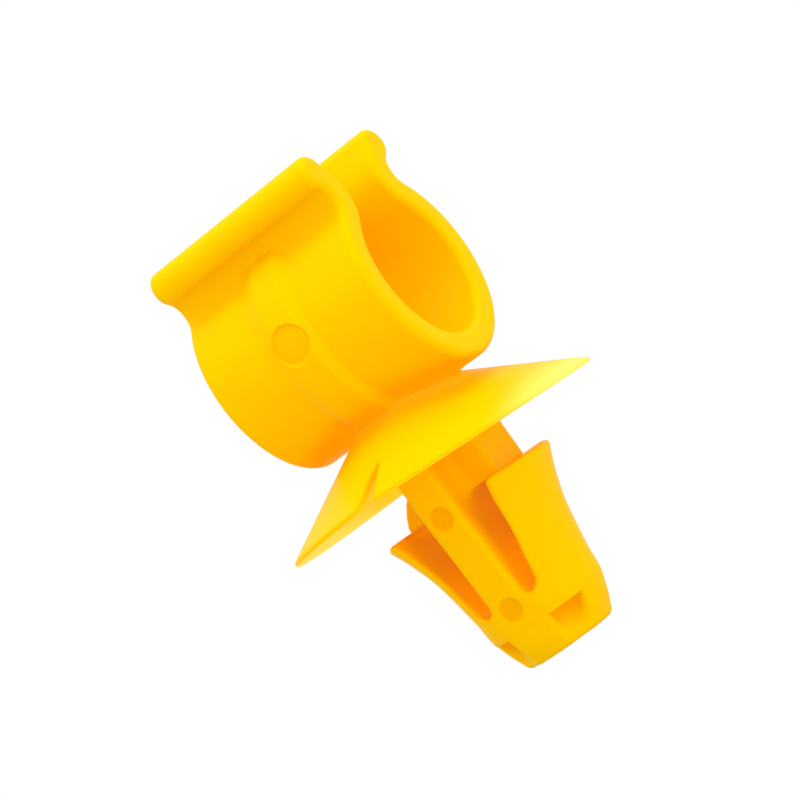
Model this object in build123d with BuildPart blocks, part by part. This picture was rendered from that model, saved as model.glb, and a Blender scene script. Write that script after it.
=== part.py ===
from build123d import *
import os
from math import atan2, cos, degrees, radians, sin, sqrt, tan

# Push-mount pipe clip: a C clamp on a sprung dish, with a two-barb anchor below.
# The real clip is one nylon moulding. Each solid here is one member of it, and
# the bodies meet at the lines where the moulding flexes.
#
# Frame, in millimetres: +Z up the stem, X along the clamp's bore, Y across it.
# The origin is on the stem's axis, level with the two tips of the dish.

# ---- clamp ----
bore_r = 4.44
ring_r = 6.04
ring_z = 9.72            # height of the bore's axis
half_length = 6.2        # half of the clamp's length along X
end_round = 0.45         # rounding of the edges at both ends
throat = 2.08            # half of the narrowest gap between the arms
throat_z = 15.0
bead_r = 1.0            # rolled bead along each lip
bead_y = 4.05
groove_r = 1.05          # hollow between the ring and the bead
groove_y = 4.814
lip_z = 14.3             # the arm ends here and its lip begins
band_h = 0.35            # raised band round the middle of the clamp
band_half = 1.42
band_top_deg = 47.4
band_foot_deg = 26.0     # from the bottom of the ring
band_mark_r = 1.15       # round ejector mark on the band
band_mark_z = 9.94
mark_depth = 0.12

# ---- sprung dish ----
dish_r = 10.0
dish_slope = 0.515       # fall of its top per mm of radius
dish_droop = 2.8         # lean of each wing, in degrees
dish_seat = 0.3          # height of the rim beside the slits
rim_t = 0.3
root_t = 0.95
slit_half = 0.77         # half of the slit's width at the rim
slit_tip = (0.7, -7.05)  # inner end of the near slit, in X and Y
hub_r = 3.8
hub_top = 3.7
hub_floor = 2.75

# ---- stem ----
web_x = 1.12             # half of the web's thickness
web_y = 3.9              # half of its width, above the taper
web_slope = 0.0773       # each side narrows by this much per mm down
taper_z = -1.3           # the narrowing starts here
bar_x = 3.15             # reach of the two cross bars
bar_y = 1.95
bar_floor = -2.05         # a squeezed barb passes just below it
bar_shoulder = ((bar_x, -1.65), (2.35, -0.65), (web_x, 0.1))
web_mark_r = 0.72        # round ejector marks on the web
web_mark_z = -2.47
nose_mark_z = -8.68

# ---- anchor ----
barb_top = -2.25
barb_in = 3.44           # inner face of a barb at its top
head_z = -4.4            # the leg ends here and the locking head begins
slot_r = 0.5             # round bottom of the slot behind each barb
slot_floor = -8.6
root_z = -8.4            # level of the barbs' flexures
web_foot_z = -7.85       # the web ends here and the nose begins
nose_z = -12.15
nose_round = 0.35
scoop_shelf = (-1.4, -10.3)   # Y and Z of the deep end of a scoop
scoop_exit = (-3.2, -11.9)    # and of a point where its floor runs out
head_outline = ((5.24, -2.55), (4.86, -3.33), (4.31, -5.0), (4.06, -6.4), (3.75, -8.33),
                (3.62, -9.7))
nose_outline = ((3.62, -9.7), (3.22, -11.0), (2.9, nose_z + nose_round))

# ---- flexures ----
gap = 0.03               # clearance between two bodies
wing_room = 0.15         # room between the ring and the wings below it
arm_deg = 40.0           # arm flexure, from the bottom of the ring
barb_swing = 15.0
barb_hinge_x = 3.6

reach = 40.0             # cutting blocks run well past the part

# ---- places that follow from them ----
groove_z = ring_z + sqrt((ring_r + groove_r) ** 2 - groove_y ** 2)
groove_deg = degrees(atan2(groove_z - ring_z, groove_y))
bead_z = groove_z + sqrt((bead_r + groove_r) ** 2 - (groove_y - bead_y) ** 2)
bead_deg = degrees(atan2(groove_z - bead_z, groove_y - bead_y))
bead_end_deg = 160.0
bore_end_deg = 49.0
slot_x = web_x + slot_r
root_x = web_x + 2 * slot_r
root_rise = (barb_hinge_x - root_x) * tan(radians(barb_swing))
lean = radians(dish_droop)


def on_ring(radius, angle):
    """A point at this radius and angle about the bore's axis, as Y and Z."""
    return (radius * cos(radians(angle)), ring_z + radius * sin(radians(angle)))


def ring_sector(r_in, r_out, start, end):
    """Face between two radii and two angles about the bore's axis."""
    with BuildSketch() as sector:
        with BuildLine():
            CenterArc((0, ring_z), r_out, start, end - start)
            CenterArc((0, ring_z), r_in, start, end - start)
            Line(on_ring(r_in, start), on_ring(r_out, start))
            Line(on_ring(r_in, end), on_ring(r_out, end))
        make_face()
    return sector.sketch


def web_half(z):
    """Half of the web's width at this height."""
    return web_y - web_slope * max(0.0, taper_z - z)


def anchor_half_section():
    """Half section of the round anchor, from the flat nose to the barbs' tops."""
    head_r = head_outline[0][0]
    foot_r = nose_outline[-1][0]
    with BuildSketch() as half:
        with BuildLine():
            Line((0, nose_z), (foot_r - nose_round, nose_z))
            ThreePointArc((foot_r - nose_round, nose_z),
                          (foot_r - 0.25 * nose_round, nose_z + 0.32 * nose_round),
                          nose_outline[-1])
            Spline(*nose_outline)
            Spline(*reversed(head_outline))
            ThreePointArc(head_outline[0], (head_r - 0.08, barb_top - 0.07),
                          (head_r - 0.3, barb_top))
            Polyline((head_r - 0.3, barb_top), (0, barb_top), (0, nose_z))
        make_face()
    return half.sketch


def save(builder, label):
    """Write one finished piece."""
    builder.part.label = label
    export_step(builder.part, f"parts/{label}.step")


os.makedirs("parts", exist_ok=True)

# ---- clamp: the saddle is fixed, and an arm with its lip and band flexes on each side ----
with BuildPart() as saddle:
    with BuildSketch(Plane.YZ):
        add(ring_sector(bore_r, ring_r, -90 - arm_deg, -90 + arm_deg))
    extrude(amount=half_length, both=True)
    end_faces = saddle.faces().filter_by(Axis.X)
    fillet(end_faces.edges().filter_by(GeomType.CIRCLE), end_round)
save(saddle, "saddle")

first_deg = -90 + arm_deg + degrees(gap / ring_r)
with BuildPart() as far_side:
    with BuildSketch(Plane.YZ):
        with BuildLine():
            Line(on_ring(bore_r, first_deg), on_ring(ring_r, first_deg))
            CenterArc((0, ring_z), ring_r, first_deg, groove_deg - first_deg)
            CenterArc((groove_y, groove_z), groove_r, 180 + groove_deg, bead_deg - groove_deg)
            bead = CenterArc((bead_y, bead_z), bead_r, bead_deg, bead_end_deg - bead_deg)
            bore_end = radians(bore_end_deg)
            Spline(bead @ 1, (throat, throat_z), on_ring(bore_r, bore_end_deg),
                   tangents=[bead % 1, (0, -1), (sin(bore_end), -cos(bore_end))])
            CenterArc((0, ring_z), bore_r, first_deg, bore_end_deg - first_deg)
        make_face()
    extrude(amount=half_length, both=True)
    end_faces = far_side.faces().filter_by(Axis.X)
    cut_length = 1.01 * (ring_r - bore_r)
    fillet(end_faces.edges().filter_by(lambda edge: edge.length > cut_length), end_round)

with BuildPart() as far_arm:
    add(far_side.part)
    split(bisect_by=Plane.XY.offset(lip_z), keep=Keep.BOTTOM)
save(far_arm, "far_arm")

with BuildPart() as far_lip:
    add(far_side.part)
    split(bisect_by=Plane.XY.offset(lip_z), keep=Keep.TOP)
save(far_lip, "far_lip")

with BuildPart() as far_rib:
    with BuildSketch(Plane.YZ):
        add(ring_sector(ring_r, ring_r + band_h, first_deg, band_top_deg))
    extrude(amount=band_half, both=True)
    with Locations(Plane(origin=(0, ring_r + band_h, band_mark_z), z_dir=(0, 1, 0))):
        Cylinder(band_mark_r, 2 * mark_depth, mode=Mode.SUBTRACT)
save(far_rib, "far_rib")

with BuildPart() as far_saddle_rib:
    with BuildSketch(Plane.YZ):
        add(ring_sector(ring_r, ring_r + band_h, -90 + band_foot_deg, -90 + arm_deg))
    extrude(amount=band_half, both=True)
    Cylinder(hub_r, reach, mode=Mode.SUBTRACT)
save(far_saddle_rib, "far_saddle_rib")

# ---- dish: the hub is fixed, and a wing flexes on each side ----
with BuildPart() as dish_hub:
    with BuildSketch(Plane.XZ):
        with BuildLine():
            Polyline((0, hub_floor), (hub_r, hub_floor), (hub_r, hub_top),
                     (0, hub_top + dish_slope * hub_r), (0, hub_floor))
        make_face()
    revolve(axis=Axis.Z)
    with BuildSketch(Plane.YZ):
        with Locations((0, ring_z)):
            Circle(ring_r)
    extrude(amount=reach, both=True, mode=Mode.SUBTRACT)
save(dish_hub, "dish_hub")

wing_plane = Plane(origin=(0, 0, dish_seat), x_dir=(cos(lean), 0, -sin(lean)), z_dir=(0, -1, 0))
wing_axis = Axis((0, 0, dish_seat), (sin(lean), 0, cos(lean)))
with BuildPart() as right_wing:
    with BuildSketch(wing_plane):
        with BuildLine():
            start_r = hub_r - 1
            start_top = rim_t + dish_slope * (dish_r - start_r)
            Polyline((start_r, start_top), (dish_r, rim_t), (dish_r, 0),
                     (start_r, start_top - root_t), (start_r, start_top))
        make_face()
    revolve(axis=wing_axis)
    split(bisect_by=Plane.YZ.offset(gap / 2), keep=Keep.TOP)
    Cylinder(hub_r + gap, reach, mode=Mode.SUBTRACT)
    with BuildSketch(Plane.YZ):
        with Locations((0, ring_z)):
            Circle(ring_r + wing_room)
    extrude(amount=reach, both=True, mode=Mode.SUBTRACT)
    with BuildSketch():
        for side in (-1, 1):
            with BuildLine():
                tip = (-side * slit_tip[0], -side * slit_tip[1])
                Polyline(tip, (-slit_half, side * (dish_r + 1)), (slit_half, side * (dish_r + 1)), tip)
            make_face()
    extrude(amount=reach, both=True, mode=Mode.SUBTRACT)
save(right_wing, "right_wing")

# ---- stem: a web across Y and two cross bars along X ----
with BuildPart() as stem_web:
    with BuildSketch(Plane.XY.offset(taper_z)):
        Rectangle(2 * web_x, 2 * web_y)
    extrude(amount=hub_floor - taper_z)
    Cylinder(hub_r, reach, mode=Mode.INTERSECT)
save(stem_web, "stem_web")

with BuildPart() as right_cross_bar:
    with BuildSketch(Plane.XZ):
        with BuildLine():
            Polyline((web_x, bar_floor), (bar_x, bar_floor), *bar_shoulder, (web_x, bar_floor))
        make_face()
    extrude(amount=bar_y)
    with BuildSketch(Plane.XZ):
        with Locations((web_x, bar_floor)):
            Rectangle(bar_x - web_x, hub_floor - bar_floor, align=(Align.MIN, Align.MIN))
    extrude(amount=-bar_y)
save(right_cross_bar, "right_cross_bar")

# ---- anchor: a tapering web between two barbs, on a solid nose ----
with BuildPart() as centre_web:
    for z in (web_foot_z, taper_z):
        with BuildSketch(Plane.XY.offset(z)):
            Rectangle(2 * web_x, 2 * web_half(z))
    loft()
    for side in (-1, 1):
        face_plane = Plane(origin=(0, side * web_half(web_mark_z), web_mark_z),
                           z_dir=(0, side, -web_slope))
        with Locations(face_plane):
            Cylinder(web_mark_r, 2 * mark_depth, mode=Mode.SUBTRACT)
save(centre_web, "centre_web")

with BuildPart() as right_barb:
    with BuildSketch(Plane.XZ):
        add(anchor_half_section())
    revolve(axis=Axis.Z)
    with BuildSketch(Plane.XZ):
        with BuildLine():
            Polyline((root_x, root_z + root_rise + gap), (barb_hinge_x, root_z + gap),
                     (reach, root_z + gap), (reach, 0), (barb_in, 0), (barb_in, barb_top),
                     (root_x, root_z + root_rise + gap))
        make_face()
    extrude(amount=reach, both=True, mode=Mode.INTERSECT)

with BuildPart() as right_barb_leg:
    add(right_barb.part)
    split(bisect_by=Plane.XY.offset(head_z), keep=Keep.BOTTOM)
save(right_barb_leg, "right_barb_leg")

with BuildPart() as right_barb_head:
    add(right_barb.part)
    split(bisect_by=Plane.XY.offset(head_z), keep=Keep.TOP)
save(right_barb_head, "right_barb_head")

with BuildPart() as nose:
    with BuildSketch(Plane.XZ):
        add(anchor_half_section())
    revolve(axis=Axis.Z)
    with BuildSketch(Plane.XZ):
        with Locations((0, root_z)):
            Rectangle(reach, reach, align=(Align.CENTER, Align.MAX))
        with Locations((0, web_foot_z)):
            Rectangle(2 * web_x, 1, align=(Align.CENTER, Align.MAX))
        with Locations((-slot_x, slot_floor + slot_r), (slot_x, slot_floor + slot_r)):
            Circle(slot_r, mode=Mode.SUBTRACT)
    extrude(amount=reach, both=True, mode=Mode.INTERSECT)
    with BuildSketch(Plane.YZ):
        with BuildLine():
            Polyline((-web_half(web_foot_z), web_foot_z), (web_half(web_foot_z), web_foot_z),
                     (web_half(nose_z), nose_z), (-web_half(nose_z), nose_z),
                     (-web_half(web_foot_z), web_foot_z))
        make_face()
    extrude(amount=reach, both=True, mode=Mode.INTERSECT)
    scoop_fall = (scoop_shelf[1] - scoop_exit[1]) / (scoop_shelf[0] - scoop_exit[0])
    for side in (-1, 1):
        with BuildSketch(Plane.YZ.offset(side * web_x)):
            for face in (-1, 1):
                with BuildLine():
                    deep = (-face * scoop_shelf[0], scoop_shelf[1])
                    Polyline(deep, (face * ring_r, scoop_shelf[1]),
                             (face * ring_r, scoop_shelf[1] - scoop_fall * (ring_r + scoop_shelf[0])),
                             deep)
                make_face()
        extrude(amount=side * reach, mode=Mode.SUBTRACT)
    for side in (-1, 1):
        face_plane = Plane(origin=(0, side * web_half(nose_mark_z), nose_mark_z),
                           z_dir=(0, side, -web_slope))
        with Locations(face_plane):
            Cylinder(web_mark_r, 2 * mark_depth, mode=Mode.SUBTRACT)
save(nose, "nose")

# ---- the other half of each pair ----
near_pairs = ((far_arm, "near_arm"), (far_lip, "near_lip"), (far_rib, "near_rib"),
              (far_saddle_rib, "near_saddle_rib"))
for far_piece, label in near_pairs:
    with BuildPart() as near_piece:
        mirror(far_piece.part, about=Plane.XZ)
    save(near_piece, label)

left_pairs = ((right_cross_bar, "left_cross_bar"), (right_barb_leg, "left_barb_leg"),
              (right_barb_head, "left_barb_head"))
for right_piece, label in left_pairs:
    with BuildPart() as left_piece:
        mirror(right_piece.part, about=Plane.YZ)
    save(left_piece, label)

with BuildPart() as left_wing:
    with Locations(Location((0, 0, 0), (0, 0, 180))):
        add(right_wing.part)
save(left_wing, "left_wing")
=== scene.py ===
# %% [markdown]
# # A push-mount pipe clip, moulded in yellow nylon
#
# The real clip is one moulding. A C clamp snaps round a pipe or a bundle of wires, a sprung
# dish presses on the panel, and an anchor with two barbs locks in a hole below it. This
# script gives the imported CAD model its looks: one smooth skin with rounded corners, cut only
# where the plastic flexes.

# %% Load the imported model as the frame
import math

import bmesh
import bpy
import numpy as np
import openvdb
from mathutils import Matrix, Vector


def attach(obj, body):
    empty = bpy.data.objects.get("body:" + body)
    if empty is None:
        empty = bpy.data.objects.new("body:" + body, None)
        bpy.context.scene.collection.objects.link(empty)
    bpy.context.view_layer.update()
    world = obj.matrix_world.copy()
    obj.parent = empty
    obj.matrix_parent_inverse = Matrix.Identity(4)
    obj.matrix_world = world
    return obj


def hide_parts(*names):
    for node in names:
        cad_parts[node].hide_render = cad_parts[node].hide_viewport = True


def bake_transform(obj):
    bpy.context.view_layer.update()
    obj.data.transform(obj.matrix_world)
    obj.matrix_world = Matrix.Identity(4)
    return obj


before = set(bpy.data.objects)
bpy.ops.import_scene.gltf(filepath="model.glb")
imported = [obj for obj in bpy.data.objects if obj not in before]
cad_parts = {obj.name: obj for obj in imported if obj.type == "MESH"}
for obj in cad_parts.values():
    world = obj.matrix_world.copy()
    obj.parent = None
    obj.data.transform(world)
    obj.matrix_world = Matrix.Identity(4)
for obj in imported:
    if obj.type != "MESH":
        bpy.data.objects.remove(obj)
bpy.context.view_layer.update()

# %% [markdown]
# ## The camera
#
# The clip is looked at from just below the edge of its dish, from 29 degrees round the near
# side, with the camera turned about its own line of sight so that the stem leans. A long
# lens close to the object keeps the perspective gentle. It would be as easy to turn the
# clip, but the frame must stay where the CAD put it, so the camera turns instead.

# %% Camera
MM = 0.001
CAMERA_AZIMUTH = math.radians(28.8)
CAMERA_ELEVATION = math.radians(-2.06)
CAMERA_ROLL = math.radians(35.37)
CAMERA_DISTANCE = 187.6 * MM
AIM_RIGHT, AIM_UP = 0.06, 4.3     # mm off the model's origin
LENS_PER_SENSOR_WIDTH = 4.2125
SENSOR_WIDTH = 36.0

line_of_sight = Vector((
    math.sin(CAMERA_AZIMUTH) * math.cos(CAMERA_ELEVATION),
    -math.cos(CAMERA_AZIMUTH) * math.cos(CAMERA_ELEVATION),
    math.sin(CAMERA_ELEVATION)))
camera_right = Vector((math.cos(CAMERA_AZIMUTH), math.sin(CAMERA_AZIMUTH), 0))
camera_up = line_of_sight.cross(camera_right)
aim = (AIM_RIGHT * camera_right + AIM_UP * camera_up) * MM

lens = bpy.data.cameras.new("camera")
lens.sensor_width = SENSOR_WIDTH
lens.lens = SENSOR_WIDTH * LENS_PER_SENSOR_WIDTH
lens.clip_start = 0.01
lens.clip_end = 10
camera = bpy.data.objects.new("camera", lens)
bpy.context.scene.collection.objects.link(camera)
upright = Matrix((camera_right, camera_up, line_of_sight)).transposed().to_4x4()
camera.matrix_world = (
    Matrix.Translation(aim + CAMERA_DISTANCE * line_of_sight)
    @ upright @ Matrix.Rotation(-CAMERA_ROLL, 4, "Z"))
bpy.context.scene.camera = camera
print("camera stands at", [round(1000 * c, 1) for c in camera.matrix_world.translation], "mm")

# %% [markdown]
# ## Shapes as distances
#
# A moulding has a small radius in every corner, inside and out, because molten plastic and a
# polished steel mould both avoid sharp ones. Booleans with a bevel on each edge could make
# them, but bevels break where many edges meet. Here each shape is a formula for the distance
# to its surface in millimetres: below zero inside, above zero outside. Two distances join
# with an inside corner of any radius, or cut each other with a rounded edge, in one line.

# %% Ways to put two distances together
def joined(a, b, radius):
    """Both shapes, with a fillet of this radius in the corner between them."""
    return (np.maximum(radius, np.minimum(a, b))
            - np.hypot(np.maximum(radius - a, 0), np.maximum(radius - b, 0)))


def common(a, b, radius):
    """Only where both shapes are, with the edge between them rounded."""
    return -joined(-a, -b, radius)


def carved(a, tool, radius):
    """The first shape with the second taken out of it, its edges rounded."""
    return common(a, -tool, radius)


def outline_distance(corners, u, v):
    """Distance to a closed flat outline, below zero inside it."""
    square = np.full(np.broadcast(u, v).shape, 1e6)
    inside = np.zeros(square.shape, bool)
    for (au, av), (bu, bv) in zip(corners, np.roll(corners, -1, axis=0)):
        du, dv = bu - au, bv - av
        along = np.clip(((u - au) * du + (v - av) * dv) / (du * du + dv * dv), 0, 1)
        square = np.minimum(square, (u - au - along * du) ** 2 + (v - av - along * dv) ** 2)
        inside ^= ((av > v) != (bv > v)) & (u < au + (v - av) * du / (dv or 1))
    return np.where(inside, -1, 1) * np.sqrt(square)


def arc(centre, radius, start, end, step):
    """Points along an arc in degrees, both ends included."""
    count = max(2, int(abs(end - start) / step) + 1)
    turn = np.radians(np.linspace(start, end, count))
    return np.stack([centre[0] + radius * np.cos(turn), centre[1] + radius * np.sin(turn)], 1)


def bezier(start, start_way, end, end_way, count=24):
    """Points along a curve that leaves start one way and arrives at end another."""
    t = np.linspace(0, 1, count)[:, None]
    start, end = np.array(start, float), np.array(end, float)
    reach = np.linalg.norm(end - start) / 3
    a, b = start + reach * np.array(start_way), end - reach * np.array(end_way)
    return ((1 - t) ** 3 * start + 3 * t * (1 - t) ** 2 * a
            + 3 * t * t * (1 - t) * b + t ** 3 * end)


# %% [markdown]
# ## The clamp
#
# The clamp is a round band of plastic 1.6 mm thick, open at the top. Each arm ends in a lip
# that rolls outwards over a hollow groove, so that a pipe finds its way in. It has the same
# section along its whole length, so the lip is drawn once in the flat and the section is
# pulled out along the bore, with both ends rounded over.

# %% Clamp sizes and the outline of a lip
BORE_R = 4.44
RING_R = 6.04
RING_Z = 9.72
HALF_LENGTH = 6.2
END_ROUND = 0.45
THROAT = (2.08, 15.0)
BEAD_R, BEAD_Y = 1.03, 3.98
GROOVE_R, GROOVE_Y = 1.05, 4.785
BEAD_END, BORE_END = 152.0, 49.0
LIP_FOOT = 26.0           # the lip's own outline starts here, inside the ring
RING_STOP = 42.0          # and the plain ring stops here, inside the lip

groove_z = RING_Z + math.sqrt((RING_R + GROOVE_R) ** 2 - GROOVE_Y ** 2)
groove_deg = math.degrees(math.atan2(groove_z - RING_Z, GROOVE_Y))
bead_z = groove_z + math.sqrt((BEAD_R + GROOVE_R) ** 2 - (GROOVE_Y - BEAD_Y) ** 2)
bead_deg = math.degrees(math.atan2(groove_z - bead_z, GROOVE_Y - BEAD_Y))


def way(degrees):
    """The direction of travel round a circle at this angle."""
    return (-math.sin(math.radians(degrees)), math.cos(math.radians(degrees)))


axis_point = (0, RING_Z)
bead_arc = arc((BEAD_Y, bead_z), BEAD_R, bead_deg, BEAD_END, 2)
bore_arc = arc(axis_point, BORE_R, BORE_END, LIP_FOOT, 1)
back = tuple(-c for c in way(BORE_END))
lip_outline = np.concatenate([
    arc(axis_point, RING_R, LIP_FOOT, groove_deg, 1)[:-1],
    arc((GROOVE_Y, groove_z), GROOVE_R, 180 + groove_deg, 180 + bead_deg, 2)[:-1],
    bead_arc[:-1],
    bezier(bead_arc[-1], way(BEAD_END), THROAT, (0, -1))[:-1],
    bezier(THROAT, (0, -1), bore_arc[0], back)[:-1],
    bore_arc])
print("lip outline:", len(lip_outline), "points, top at", round(lip_outline[:, 1].max(), 2), "mm")

# %% Clamp as a distance
BAND_H = 0.42             # the raised band round the middle of the clamp
BAND_HALF = 1.5
BAND_SLOPE = 0.55         # how far each side of the band leans in
BAND_TOP = 56.0
BAND_MARK_R = 1.15
BAND_MARK_Z = 9.94
MARK_DEPTH = 0.14         # the ejector pins press this deep
MARK_WALL = 0.16          # and the step down is this wide
MARK_REACH = 0.6          # how far below the surface a mark still counts
BAND_MARK_SHARE = 0.4     # the mark on the band is fainter in colour than those on the web
SOFT, CRISP = 0.25, 0.06  # edge radii of the band's left and right sides
BAND_TOP_ROUND = 0.3
BAND_ROOT = 0.5           # the band reaches into the ring, as far as this from the bore


def below_ray(y, z, degrees):
    """Distance to the half plane that lies below a ray from the bore's axis."""
    turn = math.radians(degrees)
    return (z - RING_Z) * math.cos(turn) - y * math.sin(turn)


def pressed(from_edge):
    """How much an ejector pin's mark lowers the surface, at a distance from its edge."""
    t = np.clip(0.5 - from_edge / MARK_WALL, 0, 1)
    return MARK_DEPTH * t * t * (3 - 2 * t)


def clamp(x, y, z):
    edge = np.where(x < 0, SOFT, CRISP)
    y, x = np.abs(y), np.abs(x)
    from_axis = np.hypot(y, z - RING_Z)
    ring = np.maximum(from_axis - RING_R, BORE_R - from_axis)
    ring = np.maximum(ring, below_ray(y, z, RING_STOP))
    section = np.minimum(ring, outline_distance(lip_outline, y, z))
    solid = common(section, x - HALF_LENGTH, END_ROUND)
    rise = from_axis - RING_R
    lean = math.hypot(1, BAND_SLOPE / BAND_H)
    side = (x - BAND_HALF + rise * BAND_SLOPE / BAND_H) / lean
    band = common(rise - BAND_H, side, edge)
    band = common(band, below_ray(y, z, BAND_TOP), BAND_TOP_ROUND)
    band = np.maximum(band, BORE_R + BAND_ROOT - from_axis)
    solid = joined(solid, band, edge)
    return solid + pressed(np.hypot(x, z - BAND_MARK_Z) - BAND_MARK_R) * (rise > -MARK_REACH)


# %% [markdown]
# ## The dish
#
# The dish is a shallow cone that thins from 0.95 mm at its root to 0.3 mm at the rim. Its
# two wings droop a little to the left and right, and a slit on the near and the far side
# lets each wing spring on its own. A lathe profile would be simplest, but the droop and the
# slits spoil its symmetry, so its top is a height for every place in the plan, and its
# underside is a thickness below that.

# %% Dish as a distance
DISH_R = 10.0
DISH_SLOPE = 0.515        # fall of the top for each mm outwards
DISH_SEAT = 0.3           # height of the rim beside the slits
DROOP = math.tan(math.radians(2.8))
DROOP_EASE = 1.2          # the droop starts gently over this distance
RIM_T = 0.3
ROOT_T, ROOT_AT = 0.95, 2.8
SLIT_EDGE = 0.78          # the near slit's right edge, along X
SLIT_LEFT = (             # and the curve of its left edge, from the inner end outwards
    (0.78, -7.1), (0.25, -7.7), (0.08, -8.15), (-0.08, -8.8), (-0.28, -9.5), (-0.7, -10.2))
SLIT_REACH = -12          # the cutting shape runs past the rim
SLIT_ROUND = 0.06
RIM_ROUND = 0.11
LEAF_ROUND = 0.02
SLOPE_LENGTH = math.hypot(1, DISH_SLOPE)

slit_outline = np.array(
    [*SLIT_LEFT, (SLIT_LEFT[-1][0], SLIT_REACH), (SLIT_EDGE, SLIT_REACH)])


def dish_top(x, y):
    """Height of the dish's upper surface."""
    droop = DROOP * (np.sqrt(x * x + DROOP_EASE ** 2) - DROOP_EASE)
    return DISH_SEAT + RIM_T + DISH_SLOPE * (DISH_R - np.hypot(x, y)) - droop


def dish_thickness(r):
    return RIM_T + (ROOT_T - RIM_T) * (DISH_R - r) / (DISH_R - ROOT_AT)


def dish(x, y, z):
    r = np.hypot(x, y)
    above = z - dish_top(x, y)
    below = -dish_thickness(r) - above
    leaf = common(above / SLOPE_LENGTH, below / SLOPE_LENGTH, LEAF_ROUND)
    leaf = common(leaf, r - DISH_R, RIM_ROUND)
    near_slit, far_slit = (outline_distance(slit_outline, k * x, k * y) for k in (1, -1))
    return carved(leaf, np.minimum(near_slit, far_slit), SLIT_ROUND)


# %% [markdown]
# ## The stem and the anchor
#
# Below the dish a flat web and two short cross bars carry the load. The anchor is turned like
# an acorn, then opened up: a slot on each side frees a springy barb, and four half-round
# scoops in the nose save plastic. The mould's ejector pins leave round marks on the web. A
# spin of one outline and a few booleans would give the shape but sharp edges, so each cut is
# one more distance with its own radius.

# %% Stem and anchor sizes
WEB_X = 1.17
WEB_Y = 4.0
WEB_SLOPE = 0.0773
TAPER_Z = -1.3
STEM_TOP, WEB_FOOT = 3.3, -10     # both out of sight, in the dish and in the nose
BAR_X, BAR_Y, BAR_FLOOR = 3.25, 1.95, -2.1
BAR_FILLET = 0.8
BAR_LONGER = 0.23         # the right bar reaches further by this much
BAR_STEP, BAR_STEP_Z = 0.06, -0.9
SHOULDER = ((1.12, 0.2), (1.9, -0.15), (2.45, -0.65), (2.9, -1.25), (3.25, -1.9))
BARB_TOP, BARB_TOP_FALL = -2.08, 0.08
BARB_TOP_ROUND = 0.34
NOTCH_X, NOTCH_Y, NOTCH_Z = 3.62, 2.15, -2.35    # a notch in its top clears the bar
BARB_IN_TOP, BARB_IN_FOOT = 3.44, 2.12
SLOT_R, SLOT_FLOOR = 0.5, -8.45
SLOT_EDGE = 0.42
NOSE_Z = -12.15
NOSE_ROUND = 0.35
ANCHOR_SHIFT = 0.11       # the barbs stand this far off the stem's axis, along X
ANCHOR_OUTLINE = ((2.75, -12.6), (2.94, -11.8), (3.3, -11.0), (3.68, -9.7), (3.8, -8.33),
                  (4.1, -6.4), (4.4, -5.0), (4.98, -3.33), (5.38, -2.45), (5.52, -2.08))
SCOOP_Z, SCOOP_R = -10.05, 0.95
SCOOP_TURN = math.radians(45)     # a scoop lies on each diagonal
SCOOP_FAR, SCOOP_LEAN = 3.2, 0.24 # its axis leans out towards the tip of the nose
SCOOP_EDGE = 0.5
WEB_MARK_R = 0.68
WEB_MARKS = (-2.47, -8.68)


def smooth_through(points, count=12):
    """A denser run of points along a smooth curve through these ones."""
    p = np.array([points[0], *points, points[-1]], float)
    t = np.linspace(0, 1, count, endpoint=False)[:, None]
    runs = [
        0.5 * (2 * b + (c - a) * t + (2 * a - 5 * b + 4 * c - d) * t ** 2
               + (3 * b - a - 3 * c + d) * t ** 3)
        for a, b, c, d in zip(p, p[1:], p[2:], p[3:])]
    return np.concatenate([*runs, p[-1:]])


anchor_curve = smooth_through(ANCHOR_OUTLINE)


def web_half(z):
    """Half of the web's width at this height."""
    return WEB_Y - WEB_SLOPE * np.maximum(0, TAPER_Z - z)


def web_faces(y, z):
    """Distance outside the web's near and far faces, which close in towards the nose."""
    return (np.abs(y) - web_half(z)) / math.hypot(1, WEB_SLOPE)


def stem(x, y, z):
    side = np.abs(x)
    web = common(side - WEB_X, web_faces(y, z), SLOT_EDGE)
    web = np.maximum(np.maximum(web, z - STEM_TOP), WEB_FOOT - z)
    # only the near half of the left bar has a sloping shoulder
    shoulder = np.interp(side, *zip(*SHOULDER)) + 6 * np.maximum(0, y + 0.1) + 9 * (x > 0)
    # and the near half of the right bar is a little shorter above a soft step
    step = np.clip((z - BAR_STEP_Z) / 0.4 + 0.5, 0, 1) * np.clip(0.5 - 2 * y, 0, 1)
    end = BAR_X + np.where(x > 0, BAR_LONGER - BAR_STEP * step * step * (3 - 2 * step), 0)
    bar = common(side - end, np.abs(y) - BAR_Y, 0.15)
    bar = common(bar, BAR_FLOOR - z, 0.08)
    bar = common(bar, (z - shoulder) * 0.7, 0.2)
    bar = np.maximum(bar, z - STEM_TOP)
    return joined(web, bar, BAR_FILLET)


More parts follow.
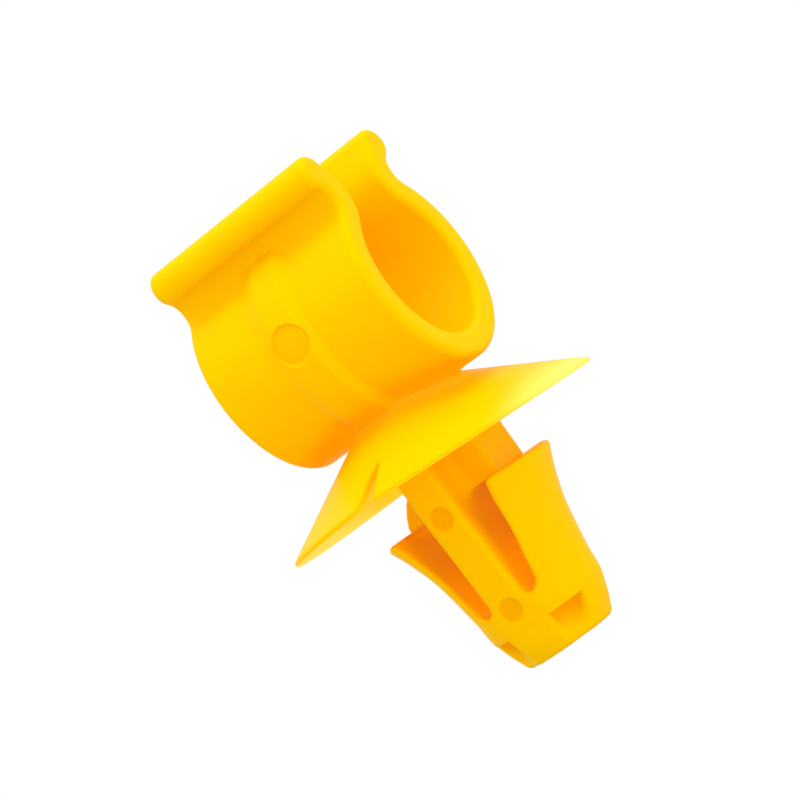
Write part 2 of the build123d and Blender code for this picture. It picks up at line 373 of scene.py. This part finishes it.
def anchor(x, y, z):
    side = np.abs(x)
    r = np.hypot(x - ANCHOR_SHIFT, y)
    outline_r = np.interp(z, anchor_curve[:, 1], anchor_curve[:, 0])
    lean = np.gradient(anchor_curve[:, 0], anchor_curve[:, 1])
    lean = np.interp(z, anchor_curve[:, 1], lean)
    round_body = (r - outline_r) / np.sqrt(1 + lean ** 2)
    body = common(round_body, NOSE_Z - z, NOSE_ROUND)
    top = z - BARB_TOP + BARB_TOP_FALL * (side - BARB_IN_TOP)
    body = common(body, top, BARB_TOP_ROUND)
    body = common(body, web_faces(y, z), 0.2)
    notch = common(NOTCH_Z - z, np.abs(y) - NOTCH_Y, 0.15)
    body = carved(body, np.maximum(notch, side - NOTCH_X), 0.06)
    gain = (BARB_IN_TOP - BARB_IN_FOOT) / (BARB_TOP - SLOT_FLOOR - SLOT_R)
    inner = BARB_IN_FOOT + gain * (z - SLOT_FLOOR - SLOT_R)
    slot = np.maximum(WEB_X - side, (side - inner) / math.hypot(1, gain))
    slot = common(slot, SLOT_FLOOR - z, SLOT_R)
    body = carved(body, slot, SLOT_EDGE)
    out_x, out_y = np.abs(x - ANCHOR_SHIFT), np.abs(y)
    ahead = out_x * math.sin(SCOOP_TURN) + out_y * math.cos(SCOOP_TURN)
    across = out_x * math.cos(SCOOP_TURN) - out_y * math.sin(SCOOP_TURN)
    axis = SCOOP_FAR - SCOOP_LEAN * (z - SCOOP_Z)
    scoop = (np.hypot(ahead - axis, across) - SCOOP_R) / math.hypot(1, SCOOP_LEAN)
    ceiling = common(body, SCOOP_Z - z, 0.08)
    return joined(carved(body, scoop, SCOOP_EDGE), ceiling, 0.05)


def web_marks(x, y, z):
    marks = [np.hypot(x, z - at) - WEB_MARK_R for at in WEB_MARKS]
    return pressed(np.minimum(*marks)) * (np.abs(y) > 2.5)


def mark_share(x, y, z):
    """One inside an ejector pin's mark and zero outside it."""
    on_band = pressed(np.hypot(x, z - BAND_MARK_Z) - BAND_MARK_R)
    on_band = on_band * (np.abs(y) > RING_R - MARK_REACH)
    return (BAND_MARK_SHARE * on_band + web_marks(x, y, z)) / MARK_DEPTH


# %% [markdown]
# ## The fixed moulding
#
# The clamp, stem and nose are one piece of plastic, so they are joined as one distance with
# a fillet at every meeting. A thin root of the dish is joined in too, a hair below the
# dish's own surface: it gives the crease between clamp and dish its fillet. The barbs are
# left out above their feet, because they bend and get a finer skin of their own.

# %% The moulding without its wings
BARB_CUT_Z = -8.3         # a barb begins here
SPLIT_Z = 1.5             # the stem ends here, out of sight under the dish
HUB_R = 6.0
ROOT_SINK = 0.03
ROOT_DEEP = 0.35
CREASE_MIDDLE, CREASE_END = 0.06, 0.4     # radius between clamp and dish
STUB = 0.4                # the nose keeps this much of a barb's foot, to be cut off later


def beyond_slot(x, z):
    """Above zero in the part of the anchor that belongs to a barb."""
    middle = 1.62 + 0.12 * (z - BARB_CUT_Z)
    return np.minimum(z - BARB_CUT_Z, np.abs(x) - middle)


def moulding(x, y, z):
    nose = np.maximum(anchor(x, y, z), beyond_slot(x, z) - STUB)
    under = joined(stem(x, y, z), nose, 0.02) + web_marks(x, y, z)
    sunk = (z - dish_top(x, y) + ROOT_SINK) / SLOPE_LENGTH
    root = np.maximum(sunk, np.hypot(x, y) - HUB_R)
    root = np.maximum(root, dish_top(x, y) - ROOT_DEEP - z)
    toward_end = np.clip((np.abs(x) - 3) / 1.5, 0, 1)
    crease = CREASE_MIDDLE + (CREASE_END - CREASE_MIDDLE) * toward_end
    return joined(joined(clamp(x, y, z), root, crease), under, 0.2)


# %% [markdown]
# ## From distance to mesh
#
# OpenVDB, which comes with Blender, turns a grid of distances into a skin of even quads.
# A finer grid costs time, so instead each corner of the skin is then slid along the steepest
# way down to where the formula is exactly zero, which takes out the last ripple. The barbs
# have the thinnest edges and get the finest grid, then the stem, then the clamp.

# %% Skin a distance
STEP = 0.1
PROBE = 0.004             # spacing of the samples that measure a slope
WIDE_PROBE = 0.04         # and of those that measure it for the shading
STEM_STEP = 0.09
BARB_STEP = 0.07


def steepest(shape, points, probe=PROBE):
    """The way in which the distance grows, measured from both sides of each point."""
    ways = 0.5 * probe * np.eye(3)
    return np.stack([shape(*(points + w).T) - shape(*(points - w).T) for w in ways], 1) / probe


def skin(shape, low, high, step):
    """Corners and quads of the surface where the distance is zero, inside a box in mm."""
    first = np.floor(np.array(low) / step).astype(int)
    last = np.ceil(np.array(high) / step).astype(int)
    x, y, z = np.ix_(*(np.arange(a, b + 1) * step for a, b in zip(first, last)))
    room = 3 * step
    values = np.clip(shape(x, y, z), -room, room).astype(np.float32)
    grid = openvdb.FloatGrid(room)
    grid.copyFromArray(values, ijk=tuple(int(i) for i in first))
    grid.transform = openvdb.createLinearTransform(voxelSize=1.0)
    corners, quads = grid.convertToQuads(isovalue=0)
    corners = corners.astype(float) * step
    for _ in range(2):
        slope = steepest(shape, corners)
        away = shape(*corners.T)
        corners -= slope * (away / np.maximum((slope ** 2).sum(1), 0.2))[:, None]
    return corners, quads


clamp_skin = skin(moulding, (-6.7, -6.9, SPLIT_Z - 0.6), (6.7, 6.9, 18.2), STEP)
stem_skin = skin(moulding, (-4.5, -4.5, -12.5), (4.5, 4.5, SPLIT_Z + 0.4), STEM_STEP)
barb_skin = skin(anchor, (-6.0, -4.5, -9.0), (6.0, 4.5, -1.5), BARB_STEP)
print("clamp:", len(clamp_skin[1]), "quads; stem:", len(stem_skin[1]),
      "quads; barbs:", len(barb_skin[1]), "quads")

# %% [markdown]
# ## Cutting the skin where the plastic flexes
#
# Each joint bends a stretch of plastic, and a piece can bend between two bodies only. So the
# skin is cut square across each clamp arm and each barb, at the place where the bending
# starts and nothing moves yet. One more level cut parts the clamp from the stem, out of
# sight under the dish. Both sides of a cut take their shading from the formula and not from
# their own faces, so that it doesn't show.

# %% Cut, close and shade
ARM_CUT = 40.0            # degrees from the bottom of the clamp
far_way = Vector((0, math.sin(math.radians(ARM_CUT)), math.cos(math.radians(ARM_CUT))))
near_way = Vector((0, -far_way.y, far_way.z))
bore_axis = Vector((0, 0, RING_Z))


def cut_skin(corners_and_quads, planes):
    """The skin as a bmesh in mm, with a line of new edges where each plane crosses it."""
    corners, quads = corners_and_quads
    mesh = bpy.data.meshes.new("skin")
    mesh.from_pydata(corners.tolist(), [], quads.tolist())
    bm = bmesh.new()
    bm.from_mesh(mesh)
    bpy.data.meshes.remove(mesh)
    for point, normal in planes:
        bmesh.ops.bisect_plane(bm, geom=bm.verts[:] + bm.edges[:] + bm.faces[:],
                               dist=1e-6, plane_co=point, plane_no=normal)
    return bm


def finished(name, mesh, shape):
    """An object in metres from a mesh in mm, shaded by the formula but for its flat faces."""
    points = np.empty(3 * len(mesh.vertices))
    mesh.vertices.foreach_get("co", points)
    points = points.reshape(-1, 3)
    normals = steepest(shape, points, WIDE_PROBE)
    normals /= np.linalg.norm(normals, axis=1, keepdims=True)
    of_loop = np.empty(len(mesh.loops), int)
    mesh.loops.foreach_get("vertex_index", of_loop)
    shading = normals[of_loop]
    for face in mesh.polygons:
        if not face.use_smooth:
            shading[face.loop_start:face.loop_start + face.loop_total] = face.normal
    mesh.normals_split_custom_set(shading)
    marked = mesh.attributes.new("marked", "FLOAT", "POINT")
    marked.data.foreach_set("value", mark_share(*points.T).astype(np.float32))
    mesh.transform(Matrix.Scale(MM, 4))
    piece = bpy.data.objects.new(name, mesh)
    bpy.context.scene.collection.objects.link(piece)
    return piece


def take(name, whole, belongs, shape):
    """A closed object in metres from the faces of the skin that belong to it."""
    bm = whole.copy()
    centres = np.array([f.calc_center_median() for f in bm.faces])
    others = [f for f, own in zip(bm.faces[:], belongs(*centres.T)) if not own]
    bmesh.ops.delete(bm, geom=others, context="FACES")
    for face in bm.faces:
        face.smooth = True
    rims = [e for e in bm.edges if e.is_boundary]
    caps = bmesh.ops.holes_fill(bm, edges=rims, sides=0)["faces"] if rims else []
    for face in caps:
        face.smooth = False
    cut_ends = bmesh.ops.triangulate(bm, faces=caps)["faces"]
    mesh = bpy.data.meshes.new(name)
    bm.to_mesh(mesh)
    bm.free()
    print(name, "has", len(mesh.polygons), "faces,", len(cut_ends), "of them across a cut")
    return finished(name, mesh, shape)


def past(way_up, y, z):
    """How far a point is past the cut across one arm."""
    return y * way_up.y + (z - RING_Z) * way_up.z


def in_far_arm(x, y, z):
    return (past(far_way, y, z) > 0) & (y > 0)


def in_near_arm(x, y, z):
    return (past(near_way, y, z) > 0) & (y < 0)


def in_barb(x, y, z):
    return beyond_slot(x, z) > 0


def in_stub(x, y, z):
    """The foot of a barb in the moulding's own skin, which the barb takes the place of."""
    return (beyond_slot(x, z) > 0) & (z < BARB_CUT_Z + STUB + 0.2)


barb_cut = (Vector((0, 0, BARB_CUT_Z)), Vector((0, 0, 1)))
split_cut = (Vector((0, 0, SPLIT_Z)), Vector((0, 0, 1)))
whole = cut_skin(clamp_skin, [(bore_axis, far_way), (bore_axis, near_way), split_cut])
saddle_piece = take("clamp_saddle", whole, lambda x, y, z: ~(
    in_far_arm(x, y, z) | in_near_arm(x, y, z) | (z < SPLIT_Z)), moulding)
near_arm = take("near_clamp_arm", whole, in_near_arm, moulding)
far_arm = take("far_clamp_arm", whole, in_far_arm, moulding)
whole.free()
whole = cut_skin(stem_skin, [split_cut, barb_cut])
stem_piece = take("stem_and_nose", whole, lambda x, y, z: ~(
    in_stub(x, y, z) | (z > SPLIT_Z)), moulding)
whole.free()
barbs = cut_skin(barb_skin, [barb_cut])
left_barb = take("left_barb", barbs, lambda x, y, z: in_barb(x, y, z) & (x < 0), anchor)
right_barb = take("right_barb", barbs, lambda x, y, z: in_barb(x, y, z) & (x > 0), anchor)
barbs.free()

# %% [markdown]
# ## The two wings of the dish
#
# The rim is the thinnest edge of the clip and the nearest to the eye, and a grid of distances
# would leave it ragged. A wing is simple enough to lay out: a fan of radial sections,
# each with a rounded rim, whose first and last ones follow the edges of the slits.

# %% Lay out a wing
WING_INNER_R = 0.3
SECTIONS, ALONG = ((300, 90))
SLIT_CHAMFER = 0.05

apex_r = math.hypot(*SLIT_LEFT[0])
apex_deg = math.degrees(math.atan2(SLIT_LEFT[0][1], SLIT_LEFT[0][0]))
far_edge = -smooth_through(SLIT_LEFT)


def wing_mesh(side):
    """The right wing in mm for side 1, and the left one, half a turn away, for side -1."""
    bend_over = np.radians(np.linspace(0, 90, 6)[1:])
    r = np.concatenate([np.linspace(WING_INNER_R, DISH_R - RIM_ROUND, ALONG),
                        DISH_R - RIM_ROUND * (1 - np.sin(bend_over))])
    inset = np.concatenate([np.zeros(ALONG), RIM_ROUND * (1 - np.cos(bend_over))])
    start = np.degrees(np.arcsin(SLIT_EDGE / np.maximum(r, apex_r))) - 90
    end = np.interp(r, np.hypot(*far_edge.T), np.degrees(np.arctan2(*far_edge.T[::-1])))
    past_apex = SLIT_CHAMFER * np.clip((r - apex_r) / 0.3, 0, 1)
    near_edge = np.degrees(SLIT_CHAMFER / r)
    rows = [(start, past_apex), (start + near_edge, 0)]
    rows += [(start + (end - start) * t, 0) for t in np.linspace(0, 1, SECTIONS)[1:-1]]
    rows += [(end - near_edge, 0), (end, past_apex)]
    points = []
    for turn, lower in rows:
        x, y = r * np.cos(np.radians(turn)), r * np.sin(np.radians(turn))
        top = dish_top(x, y) - inset - lower
        floor = dish_top(x, y) - dish_thickness(r) + inset + lower
        points += [np.stack([x, y, top], 1), np.stack([x, y, floor], 1)[::-1]]
    points = np.concatenate(points) * (side, side, 1)
    loop, count = 2 * len(r), len(rows)
    faces = [(k * loop + i, k * loop + (i + 1) % loop, (k + 1) * loop + (i + 1) % loop,
              (k + 1) * loop + i) for k in range(count - 1) for i in range(loop)]
    wall = len(faces)
    for first in (0, (count - 1) * loop):
        faces += [(first + i, first + i + 1, first + loop - 2 - i, first + loop - 1 - i)
                  for i in range(len(r) - 1)]
    mesh = bpy.data.meshes.new("wing")
    mesh.from_pydata(points.tolist(), [], faces)
    bm = bmesh.new()
    bm.from_mesh(mesh)
    bmesh.ops.recalc_face_normals(bm, faces=bm.faces[:])
    bm.to_mesh(mesh)
    bm.free()
    mesh.polygons.foreach_set("use_smooth", np.arange(len(faces)) < wall)
    return mesh


left_wing = finished("left_dish_wing", wing_mesh(-1), dish)
right_wing = finished("right_dish_wing", wing_mesh(1), dish)
print("each wing has", len(right_wing.data.polygons), "faces")

# %% [markdown]
# ## Yellow nylon
#
# Unfilled nylon is slightly cloudy: light goes a little way in and comes out warmer, so the
# shaded corners turn orange and never grey, and the thin rim of the dish looks paler. A
# subsurface shader does this too, but it leaves a dark line at every cut between two pieces.
# So that light is painted here instead. The shader asks how open each place is to the room:
# a hollow gets painted shade in a deeper colour and a painted faint orange glow, the underside
# of the dish gets a painted glow for the light that comes through, and the wing tips are painted
# paler.
# Fine grain, soft flow marks and an uneven polish come from noise in real millimetres.

# %% Nylon material
NYLON = (0.995, 0.57, 0.0, 1)
NYLON_DEEP = (0.99, 0.53, 0.0, 1)
# Painted shade: the colour that hollows, creases and slots turn towards.
NYLON_PAINTED_SHADE = (0.93, 0.42, 0.0, 1)
# Painted light: the paler colour of the wing tips, for light that comes through the thin plastic.
NYLON_PAINTED_THROUGH_LIGHT = (1.0, 0.79, 0.13, 1)
NYLON_MARKED = (0.98, 0.43, 0.0, 1)
SHEEN = (1.0, 0.82, 0.02, 1)
GLOSS = 0.015             # moulded against a dull steel, so it hardly shines
# Painted light: a faint orange glow in the hollows, standing in for light scattered inside the
# plastic.
PAINTED_GLOW = (1.0, 0.5, 0.0, 1)
PAINTED_GLOW_STRENGTH = 0.26
# Painted light: a glow on the dish's underside, for light that comes through it.
PAINTED_THROUGH_GLOW = (1.0, 0.66, 0.03, 1)
PAINTED_THROUGH_STRENGTH = 0.32
# Painted shade and glow in hollows: how far off a wall still closes a place in, and how strong
# the shade is.
PAINTED_SHADE_AND_GLOW_REACH = 2.5        # mm, how far off a wall still closes a place in
PAINTED_SHADE_SHARE = 0.75       # how much of the deeper colour a closed hollow takes
PAINTED_SHADE_SHARE_DISH = 0.5


def nylon(name, through_light_from=None, through_light_to=None):
    """Moulded nylon. Between two distances along X from the stem, in mm, it may be painted paler,
    as if lit through the thin plastic, and then its underside gets a painted glow too.
    """
    material = bpy.data.materials.new(name)
    material.use_nodes = True
    nodes, links = material.node_tree.nodes, material.node_tree.links
    shader = nodes["Principled BSDF"]
    shader.inputs["IOR"].default_value = 1.53
    shader.inputs["Specular Tint"].default_value = SHEEN
    shader.inputs["Specular IOR Level"].default_value = GLOSS
    where = nodes.new("ShaderNodeTexCoord").outputs["Object"]

    def noise(size_mm, detail):
        """Noise whose blotches are about this wide."""
        node = nodes.new("ShaderNodeTexNoise")
        node.inputs["Scale"].default_value = 1 / (size_mm * MM)
        node.inputs["Detail"].default_value = detail
        links.new(where, node.inputs["Vector"])
        return node.outputs["Fac"]

    def between(factor, low, high):
        """A number that follows the noise from low to high."""
        node = nodes.new("ShaderNodeMapRange")
        node.inputs["From Min"].default_value = 0.3
        node.inputs["From Max"].default_value = 0.7
        node.inputs["To Min"].default_value = low
        node.inputs["To Max"].default_value = high
        links.new(factor, node.inputs["Value"])
        return node.outputs["Result"]

    def mixed(factor, first, second):
        """A colour between two others."""
        node = nodes.new("ShaderNodeMix")
        node.data_type = "RGBA"
        links.new(factor, node.inputs["Factor"])
        for socket, colour in (("A", first), ("B", second)):
            place = next(i for i in node.inputs if i.name == socket and i.type == "RGBA")
            if isinstance(colour, tuple):
                place.default_value = colour
            else:
                links.new(colour, place)
        return next(o for o in node.outputs if o.type == "RGBA")

    colour = mixed(noise(3.0, 3), NYLON, NYLON_DEEP)
    mark = nodes.new("ShaderNodeAttribute")
    mark.attribute_name = "marked"
    colour = mixed(mark.outputs["Fac"], colour, NYLON_MARKED)
    # Painted light: the wing tips are painted paler towards the rim, along X.
    if through_light_to:
        along = nodes.new("ShaderNodeSeparateXYZ")
        links.new(where, along.inputs[0])
        out = nodes.new("ShaderNodeMath")
        out.operation = "ABSOLUTE"
        links.new(along.outputs["X"], out.inputs[0])
        fade = nodes.new("ShaderNodeMapRange")
        fade.interpolation_type = "SMOOTHSTEP"
        fade.inputs["From Min"].default_value = through_light_from * MM
        fade.inputs["From Max"].default_value = through_light_to * MM
        links.new(out.outputs["Value"], fade.inputs["Value"])
        colour = mixed(fade.outputs["Result"], colour, NYLON_PAINTED_THROUGH_LIGHT)

    openness = nodes.new("ShaderNodeAmbientOcclusion")
    openness.samples = 6
    openness.inputs["Distance"].default_value = PAINTED_SHADE_AND_GLOW_REACH * MM

    def painted_by_openness(open_at, closed_at, open_value, closed_value):
        """A number for the painted shade and glow, which changes from open ground to the bottom
        of a hollow.
        """
        node = nodes.new("ShaderNodeMapRange")
        node.interpolation_type = "SMOOTHSTEP"
        node.inputs["From Min"].default_value = open_at
        node.inputs["From Max"].default_value = closed_at
        node.inputs["To Min"].default_value = open_value
        node.inputs["To Max"].default_value = closed_value
        links.new(openness.outputs["AO"], node.inputs["Value"])
        return node.outputs["Result"]

    # Painted shade: the less open a place is to the room, the deeper its colour.
    painted_shade_share = PAINTED_SHADE_SHARE_DISH if through_light_to else PAINTED_SHADE_SHARE
    colour = mixed(painted_by_openness(0.95, 0.45, 0.0, painted_shade_share), colour, NYLON_PAINTED_SHADE)
    links.new(colour, shader.inputs["Base Color"])
    # Painted light: the hollows glow a faint orange.
    shader.inputs["Emission Color"].default_value = PAINTED_GLOW
    painted_glow = painted_by_openness(0.6, 0.1, 0.0, PAINTED_GLOW_STRENGTH)
    # Painted light: faces of the dish that look down glow, as if lit through.
    if through_light_to:
        facing = nodes.new("ShaderNodeSeparateXYZ")
        links.new(nodes.new("ShaderNodeNewGeometry").outputs["Normal"], facing.inputs[0])
        under = nodes.new("ShaderNodeMapRange")
        under.inputs["From Min"].default_value = 0.0
        under.inputs["From Max"].default_value = -0.8
        under.inputs["To Max"].default_value = PAINTED_THROUGH_STRENGTH
        links.new(facing.outputs["Z"], under.inputs["Value"])
        both = nodes.new("ShaderNodeMath")
        both.operation = "MAXIMUM"
        links.new(painted_glow, both.inputs[0])
        links.new(under.outputs["Result"], both.inputs[1])
        painted_glow = both.outputs["Value"]
        shader.inputs["Emission Color"].default_value = PAINTED_THROUGH_GLOW
    links.new(painted_glow, shader.inputs["Emission Strength"])
    links.new(between(noise(1.2, 4), 0.33, 0.43), shader.inputs["Roughness"])

    grain = nodes.new("ShaderNodeBump")
    grain.inputs["Strength"].default_value = 0.25
    grain.inputs["Distance"].default_value = 0.004 * MM
    links.new(noise(0.09, 3), grain.inputs["Height"])
    flow = nodes.new("ShaderNodeBump")
    flow.inputs["Strength"].default_value = 0.35
    flow.inputs["Distance"].default_value = 0.02 * MM
    links.new(noise(1.6, 2), flow.inputs["Height"])
    links.new(grain.outputs["Normal"], flow.inputs["Normal"])
    links.new(flow.outputs["Normal"], shader.inputs["Normal"])
    print(name, "has", len(nodes), "nodes")
    return material


body_nylon = nylon("yellow_nylon")
# The dish's material has painted light: paler tips and a glowing underside.
dish_nylon = nylon("yellow_nylon_painted_through_light", through_light_from=7.0, through_light_to=10.2)
for piece in (saddle_piece, stem_piece, near_arm, far_arm, left_barb, right_barb):
    piece.data.materials.append(body_nylon)
for piece in (left_wing, right_wing):
    piece.data.materials.append(dish_nylon)

# %% [markdown]
# ## The pieces and the CAD parts they replace
#
# The saddle of the clamp and the stem ride on the core. Each other piece bends away from it
# over a few millimetres; here it is set in place, the CAD parts it stands for are hidden,
# and the stretch over which it bends is printed.

# %% Tie the saddle and stem to the core, and hide the CAD parts
def at(x, y, z):
    """A point given in mm, in metres."""
    return Vector((x, y, z)) * MM


def bend(piece, body, start, end, *nodes):
    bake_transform(piece)
    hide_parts(*nodes)
    print(piece.name, "bends from", start, "to", end, "with", body)


ARM_BEND = 4.5            # mm of an arm, past its cut, that do the bending
WING_BEND = (2, 6.5)      # and the part of a wing, along X
BARB_BEND_TOP = -6.6      # and of a barb, from its cut up
for piece in (saddle_piece, stem_piece):
    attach(piece, "core")
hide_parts("saddle", "near_saddle_rib", "far_saddle_rib", "dish_hub")
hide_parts("stem_web", "left_cross_bar", "right_cross_bar", "centre_web", "nose")
bend(near_arm, "near_arm_body", bore_axis, bore_axis + ARM_BEND * near_way,
     "near_arm", "near_lip", "near_rib")
bend(far_arm, "far_arm_body", bore_axis, bore_axis + ARM_BEND * far_way,
     "far_arm", "far_lip", "far_rib")
for piece, side, sign in ((left_wing, "left", -1), (right_wing, "right", 1)):
    start, end = ((sign * x, 0, 0) for x in WING_BEND)
    bend(piece, f"{side}_wing_body", start, end, f"{side}_wing")
for piece, side in ((left_barb, "left"), (right_barb, "right")):
    bend(piece, f"{side}_barb_body", (0, 0, BARB_CUT_Z), (0, 0, BARB_BEND_TOP),
         f"{side}_barb_leg", f"{side}_barb_head")

# %% [markdown]
# ## Light and floor
#
# The room is white all round and brighter above than below, as in a light tent. One large
# soft lamp hangs over the open side of the clamp, and a second one fills in from the right.
# The plastic gets most of its light from everywhere, so its hollows stay bright and warm. The
# floor is far enough below the nose to keep the clip's soft shadow clear of it. To the camera
# the room is plain white, which isn't extra light on the clip.

# %% World, lamps and floor
ROOM_BELOW, ROOM_ABOVE = 0.73, 1.15
ROOM_SEEN = 1.0
KEY_WATTS = 0.104
FILL_WATTS = 0.095

world = bpy.data.worlds.new("white room")
bpy.context.scene.world = world
world.use_nodes = True
nodes, links = world.node_tree.nodes, world.node_tree.links
nodes.clear()
path = nodes.new("ShaderNodeLightPath")
seen = nodes.new("ShaderNodeMath")
seen.operation = "MAXIMUM"
links.new(path.outputs["Is Camera Ray"], seen.inputs[0])
mirrored = nodes.new("ShaderNodeMath")
mirrored.operation = "MAXIMUM"
links.new(path.outputs["Is Glossy Ray"], mirrored.inputs[0])
links.new(path.outputs["Is Transmission Ray"], mirrored.inputs[1])
links.new(mirrored.outputs[0], seen.inputs[1])
soft = nodes.new("ShaderNodeBackground")
height = nodes.new("ShaderNodeSeparateXYZ")
links.new(nodes.new("ShaderNodeTexCoord").outputs["Generated"], height.inputs[0])
level = nodes.new("ShaderNodeMapRange")
level.inputs["From Min"].default_value = -1
level.inputs["To Min"].default_value = ROOM_BELOW
level.inputs["To Max"].default_value = ROOM_ABOVE
links.new(height.outputs["Z"], level.inputs["Value"])
links.new(level.outputs["Result"], soft.inputs["Strength"])
white = nodes.new("ShaderNodeBackground")
white.inputs["Strength"].default_value = ROOM_SEEN
for background in (soft, white):
    background.inputs["Color"].default_value = (1, 1, 1, 1)
choose = nodes.new("ShaderNodeMixShader")
links.new(seen.outputs[0], choose.inputs["Fac"])
links.new(soft.outputs[0], choose.inputs[1])
links.new(white.outputs[0], choose.inputs[2])
links.new(choose.outputs[0], nodes.new("ShaderNodeOutputWorld").inputs["Surface"])


def soft_lamp(name, way, distance_mm, size_mm, watts):
    """A square lamp that shines on the clip from this direction."""
    light = bpy.data.lights.new(name, "AREA")
    light.size = size_mm * MM
    light.energy = watts
    lamp = bpy.data.objects.new(name, light)
    lamp.location = Vector(way).normalized() * distance_mm * MM
    lamp.rotation_mode = "QUATERNION"
    lamp.rotation_quaternion = Vector(way).to_track_quat("Z", "Y")
    bpy.context.scene.collection.objects.link(lamp)
    print(name, "shines from", [round(c, 2) for c in Vector(way).normalized()])


soft_lamp("key lamp", (0.0, -0.2, 0.98), 160, 130, KEY_WATTS)
soft_lamp("fill lamp", (0.97, -0.28, 0.05), 180, 120, FILL_WATTS)

FLOOR_Z = -25.0
FLOOR_R = 150.0
PAPER = (0.6, 0.6, 0.6, 1)
PAPER_LIFT = 0.6          # added for the camera alone, so that the paper looks white
bm = bmesh.new()
bmesh.ops.create_circle(bm, cap_ends=True, radius=FLOOR_R * MM, segments=96)
floor_mesh = bpy.data.meshes.new("floor")
bm.to_mesh(floor_mesh)
bm.free()
floor = bpy.data.objects.new("floor", floor_mesh)
floor.location.z = FLOOR_Z * MM
bpy.context.scene.collection.objects.link(floor)
paper = bpy.data.materials.new("white paper")
paper.use_nodes = True
nodes, links = paper.node_tree.nodes, paper.node_tree.links
card = nodes["Principled BSDF"]
card.inputs["Base Color"].default_value = PAPER
card.inputs["Roughness"].default_value = 0.9
card.inputs["Emission Color"].default_value = (1, 1, 1, 1)
path = nodes.new("ShaderNodeLightPath")
lift = nodes.new("ShaderNodeMath")
lift.operation = "MULTIPLY"
lift.inputs[1].default_value = PAPER_LIFT
links.new(path.outputs["Is Camera Ray"], lift.inputs[0])
links.new(lift.outputs[0], card.inputs["Emission Strength"])
floor_mesh.materials.append(paper)
bpy.context.scene.view_settings.view_transform = "Standard"
